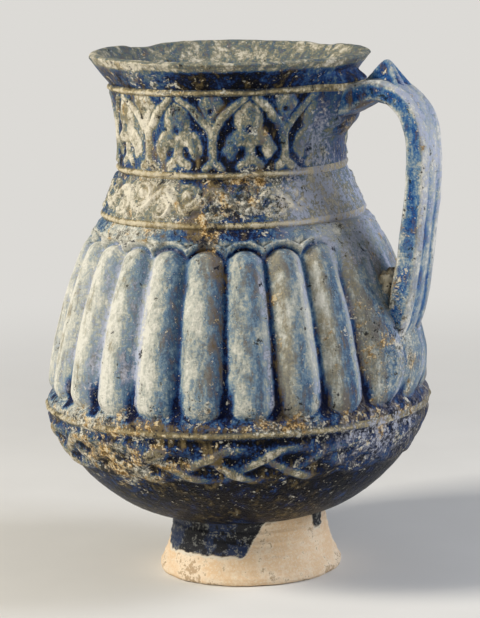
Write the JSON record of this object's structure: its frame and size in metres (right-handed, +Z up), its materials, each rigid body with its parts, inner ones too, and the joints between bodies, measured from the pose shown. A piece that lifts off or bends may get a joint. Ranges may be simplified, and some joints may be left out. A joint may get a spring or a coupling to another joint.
{
  "type": "moulded ceramic pitcher",
  "caption": "Footed ceramic pitcher with a fluted belly, a moulded shoulder and neck, a flaring lip and a reeded strap handle with a thumb rest, for holding and pouring drink.",
  "frame": {"origin": "centre of the ring foot on the surface that the pitcher stands on, which is also the middle of its outline seen from above", "axes": "+Z up, towards the rim; +X towards the handle; +Y completes a right-handed frame"},
  "size_m": [0.143, 0.135, 0.18],
  "materials": {
    "worn_cobalt_glaze": "worn, pooled cobalt glaze over pale fritware",
    "flute_glaze": "thin weathered blue-grey glaze, worn pale on the crowns",
    "handle_glaze": "speckled blue glaze, worn pale on the reeds",
    "bare_fritware": "unglazed, matt, warm buff",
    "luting_clay": "worn glaze over rough clay"
  },
  "bodies": {
    "root": {"foot_ring": "bare_fritware", "foot_coil": "luting_clay", "lower_bowl": "worn_cobalt_glaze", "belly_coil": "luting_clay", "fluted_belly": "flute_glaze", "shoulder_coil": "luting_clay", "shoulder_band": "worn_cobalt_glaze", "neck_coil": "luting_clay", "neck_collar": "worn_cobalt_glaze", "lip_coil": "luting_clay", "flared_lip": "worn_cobalt_glaze", "handle_strap": "handle_glaze", "thumb_rest": "handle_glaze", "handle_upper_pad": "handle_glaze", "handle_lower_pad": "flute_glaze", "crotch_wad": "luting_clay"}
  },
  "joints": []
}
